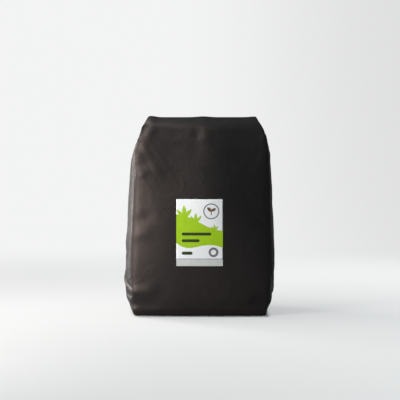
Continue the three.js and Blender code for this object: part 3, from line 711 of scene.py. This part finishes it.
def laid_y(x, z):
    """How far forward the laid paper's front is at a point."""
    i = (x - paper_x[0]) / (paper_x[-1] - paper_x[0]) * PAPER_COLUMNS
    j = (z - paper_z[0]) / (paper_z[-1] - paper_z[0]) * PAPER_ROWS
    i0, j0 = min(max(int(i), 0), PAPER_COLUMNS - 1), min(max(int(j), 0), PAPER_ROWS - 1)
    u, v = i - i0, j - j0
    y = paper_front[:, :, 1]
    return ((1 - v) * ((1 - u) * y[j0, i0] + u * y[j0, i0 + 1])
            + v * ((1 - u) * y[j0 + 1, i0] + u * y[j0 + 1, i0 + 1]))


def flat_y(x, z):
    """How far forward the front of the CAD model's paper is at a point."""
    x = min(max(x, paper_low.x + EDGE_MARGIN), paper_high.x - EDGE_MARGIN)
    z = min(max(z, paper_low.z + EDGE_MARGIN), paper_high.z - EDGE_MARGIN)
    return sheet_tree.ray_cast(Vector((x, -1, z)), Vector((0, 1, 0)))[0].y


def print_field(node, name, material):
    """Lays one field of ink on the paper."""
    body = bmesh.new()
    body.from_mesh(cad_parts[node].data)
    low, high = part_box(node)
    for axis in (0, 2):
        direction = Vector((axis == 0, 0, axis == 2))
        for place in np.arange(low[axis] + INK_CUT, high[axis], INK_CUT):
            bmesh.ops.bisect_plane(body, geom=body.verts[:] + body.edges[:] + body.faces[:], dist=1e-7,
                                   plane_co=direction * place, plane_no=direction)
    for point in body.verts:
        above = flat_y(point.co.x, point.co.z) - point.co.y
        point.co.y = laid_y(point.co.x, point.co.z) - above * (1 - INK_LOWERING)
    mesh = bpy.data.meshes.new(name)
    body.to_mesh(mesh)
    body.free()
    field = bpy.data.objects.new(name, mesh)
    bpy.context.scene.collection.objects.link(field)
    mesh.materials.clear()
    mesh.materials.append(material)
    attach(field, "root")
    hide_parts(node)


green = paper_finish("green_ink", (0.33, 0.56, 0.004), (0.40, 0.63, 0.010), INK_ROUGH)
grey = paper_finish("grey_ink", (0.16, 0.15, 0.17), (0.20, 0.19, 0.21), INK_ROUGH)
brown = paper_finish("brown_ink", (0.12, 0.07, 0.03), (0.18, 0.11, 0.05), INK_ROUGH)
dark = paper_finish("dark_ink", (0.025, 0.038, 0.006), (0.035, 0.052, 0.010), INK_ROUGH)
pale = paper_finish("pale_ink", (0.58, 0.59, 0.56), (0.66, 0.67, 0.64), INK_ROUGH)
print_field("label_green_field", "green_hill_and_leaves", green)
print_field("label_emblem_ring", "emblem_ring", grey)
print_field("label_emblem_sprout", "emblem_seedling", brown)
print_field("label_title_bar", "title_bar", dark)
print_field("label_subtitle_bar", "subtitle_bar", dark)
print_field("label_disc", "grade_disc", grey)
print_field("label_amount_bar", "amount_bar", dark)
print_field("label_foot_rule", "foot_rule", grey)
print_field("label_foot_band", "foot_band", pale)

# The studio: a pale seamless sweep of paper that bends up behind the bag. It stands round the object and
# isn't part of it. The camera sees a smooth glow on it besides its light, as in the photo.
SWEEP_COLOUR = (0.80, 0.80, 0.79, 1)
SWEEP_BOUNCE = (0.40, 0.40, 0.41, 1)  # how much light it throws back on the bag
# The sweep's glow as the camera sees it, between two (x, tone) ends: in front, behind, and the wall. On the
# floor it is partly painted light: dimmer on the left, where the key lamp lights the floor, and brighter to
# the right, where that lamp's light fades.
FRONT_GLOW_AND_PAINTED_LIGHT = ((-0.7, 0.45), (0.7, 1.26))
BACK_GLOW_AND_PAINTED_LIGHT = ((-0.7, 0.72), (0.7, 1.25))
# The wall's glow is painted light: brighter on the left and darker to the right, as if the key lamp lit it.
WALL_GLOW_AND_PAINTED_LIGHT = ((-0.2, 0.90), (1.0, 0.745))
GLOW_TINT = (0.993, 1.0, 0.998, 1)
BACK_STARTS, BACK_WHOLE = -0.5, 0.15  # where one tone gives way to the next, by y
WALL_STARTS, WALL_WHOLE = 0.2, 1.3
FLOOR_GLOW_SHARE = 0.47  # the rest of the floor's tone is lit, and so holds the bag's shadow
LIT_ENDS, GLOW_WHOLE = -0.1, 1.4  # the places, by y, between which that share rises to the whole
FOOTPRINT = (0.150, 0.081)  # under the bag the floor has no glow, so that its foot stands in shade
FOOTPRINT_EDGE = 1.1  # the glow is whole again at this many times that distance from the middle
SWEEP_WIDTH = 8.0
SWEEP_FRONT = -4.5
SWEEP_BACK = 2.6
SWEEP_BEND = 1.2
SWEEP_HEIGHT = 4.0
BEND_STEPS = 16

bend_start = SWEEP_BACK - SWEEP_BEND
profile = [(SWEEP_FRONT, 0.0), (bend_start, 0.0)]
for step in range(1, BEND_STEPS + 1):
    angle = step / BEND_STEPS * math.pi / 2
    profile.append((bend_start + SWEEP_BEND * math.sin(angle), SWEEP_BEND * (1 - math.cos(angle))))
profile.append((SWEEP_BACK, SWEEP_HEIGHT))
sweep_points = [(side * SWEEP_WIDTH / 2, y, z) for y, z in profile for side in (-1, 1)]
sweep_faces = [(2 * i, 2 * i + 1, 2 * i + 3, 2 * i + 2) for i in range(len(profile) - 1)]
sweep = mesh_object("studio_sweep", sweep_points, sweep_faces)
paint, nodes, links, shader = node_material("studio_sweep_paint")
shader.inputs["Roughness"].default_value = 0.9
shader.inputs["Specular IOR Level"].default_value = 0.0


def ramp_along(nodes, links, value, start, end):
    """A value that runs between two (place, value) ends, smoothly."""
    span = nodes.new("ShaderNodeMapRange")
    span.interpolation_type = "SMOOTHSTEP"
    for socket, number in zip(("From Min", "To Min", "From Max", "To Max"), (*start, *end)):
        span.inputs[socket].default_value = number
    links.new(value, span.inputs["Value"])
    return span.outputs["Result"]


where = nodes.new("ShaderNodeTexCoord")
axes = nodes.new("ShaderNodeSeparateXYZ")
links.new(where.outputs["Object"], axes.inputs["Vector"])
across, back = axes.outputs["X"], axes.outputs["Y"]
# The glow's tone is painted light across the sweep: on the floor it evens out the key lamp's light, and on
# the wall it is brighter on the left.
tone = ramp_along(nodes, links, across, *FRONT_GLOW_AND_PAINTED_LIGHT)
for tones, starts, whole in ((BACK_GLOW_AND_PAINTED_LIGHT, BACK_STARTS, BACK_WHOLE), (WALL_GLOW_AND_PAINTED_LIGHT, WALL_STARTS, WALL_WHOLE)):
    further = nodes.new("ShaderNodeMix")
    links.new(ramp_along(nodes, links, back, (starts, 0), (whole, 1)), further.inputs["Factor"])
    links.new(tone, further.inputs["A"])
    links.new(ramp_along(nodes, links, across, *tones), further.inputs["B"])
    tone = further.outputs["Result"]
glow = nodes.new("ShaderNodeEmission")
glow.inputs["Color"].default_value = GLOW_TINT
links.new(tone, glow.inputs["Strength"])
rays = nodes.new("ShaderNodeLightPath")
seen = nodes.new("ShaderNodeMix")
seen.data_type = "RGBA"
seen.inputs["A"].default_value = SWEEP_BOUNCE
seen.inputs["B"].default_value = SWEEP_COLOUR
links.new(rays.outputs["Is Camera Ray"], seen.inputs["Factor"])
links.new(seen.outputs["Result"], shader.inputs["Base Color"])
glowing = ramp_along(nodes, links, back, (LIT_ENDS, FLOOR_GLOW_SHARE), (GLOW_WHOLE, 1))
beside = combine(nodes, links, "DIVIDE", combine(nodes, links, "ABSOLUTE", across, 0), FOOTPRINT[0])
before = combine(nodes, links, "DIVIDE", combine(nodes, links, "ABSOLUTE", back, 0), FOOTPRINT[1])
outside = combine(nodes, links, "MAXIMUM", beside, before)
clear = ramp_along(nodes, links, outside, (1, 0), (FOOTPRINT_EDGE, 1))
glowing = combine(nodes, links, "MULTIPLY", glowing, clear)
share = combine(nodes, links, "MULTIPLY", rays.outputs["Is Camera Ray"], glowing)
blend = nodes.new("ShaderNodeMixShader")
links.new(share, blend.inputs["Fac"])
links.new(shader.outputs["BSDF"], blend.inputs[1])
links.new(glow.outputs["Emission"], blend.inputs[2])
links.new(blend.outputs["Shader"], nodes["Material Output"].inputs["Surface"])
sweep.data.materials.append(paint)

# The lights: one large soft light to the left, a weaker one behind it and a small one above, and weak
# light from the right and from all round. Each has a name, azimuth and elevation in degrees, distance,
# size in metres, power in watts and colour. Azimuth 0 is the camera's side, negative ones its left.
LIGHTS = (
    ("key_left", -56, 9, 1.3, (0.6, 1.1), 23.0, (1.0, 0.985, 0.965)),
    ("rim_left", -118, 10, 2.0, (0.6, 1.4), 38, (1.0, 0.98, 0.96)),
    ("top_left", -90, 60, 0.75, (0.3, 0.3), 3.3, (1.0, 0.97, 0.94)),
    ("fill_right", 105, 15, 2.2, (1.0, 1.4), 3.5, (0.94, 0.97, 1.0)),
)
BAG_MIDDLE = Vector((0, 0, 0.24))


def soft_light(name, azimuth, elevation, distance, size, power, colour):
    """An area light that stands round the bag and is aimed at its middle."""
    light = bpy.data.lights.new(name, "AREA")
    light.shape = "RECTANGLE"
    light.size, light.size_y = size
    light.energy = power
    light.color = colour
    turn, tilt = math.radians(azimuth), math.radians(elevation)
    away = Vector((math.sin(turn) * math.cos(tilt), -math.cos(turn) * math.cos(tilt), math.sin(tilt)))
    lamp = bpy.data.objects.new(name, light)
    lamp.location = BAG_MIDDLE + distance * away
    lamp.rotation_euler = (BAG_MIDDLE - lamp.location).to_track_quat("-Z", "Y").to_euler()
    bpy.context.scene.collection.objects.link(lamp)


for settings in LIGHTS:
    soft_light(*settings)

AIR_STRENGTH = 0.15
AIR_COLOUR = (0.73, 1.03, 1.20, 1)
world = bpy.data.worlds.new("studio_air")
world.use_nodes = True
air = world.node_tree.nodes["Background"]
air.inputs["Color"].default_value = AIR_COLOUR
air.inputs["Strength"].default_value = AIR_STRENGTH
bpy.context.scene.world = world

# The camera stands straight in front of the bag, a little above its middle, and looks slightly down.
# Its distance, aim and lens were fitted to the bag's edges in the photo.
CAMERA_DISTANCE = 2.475
CAMERA_ELEVATION = math.radians(3.75)
CAMERA_AIM = Vector((0.0009, 0, 0.2606))
LENS_MM = 95.6
SENSOR_MM = 36

camera_data = bpy.data.cameras.new("camera")
camera_data.lens = LENS_MM
camera_data.sensor_width = SENSOR_MM
camera = bpy.data.objects.new("camera", camera_data)
camera.location = CAMERA_AIM + CAMERA_DISTANCE * Vector(
    (0, -math.cos(CAMERA_ELEVATION), math.sin(CAMERA_ELEVATION)))
camera.rotation_euler = (CAMERA_AIM - camera.location).to_track_quat("-Z", "Y").to_euler()
bpy.context.scene.collection.objects.link(camera)
bpy.context.scene.camera = camera
bpy.context.scene.view_settings.view_transform = "Standard"
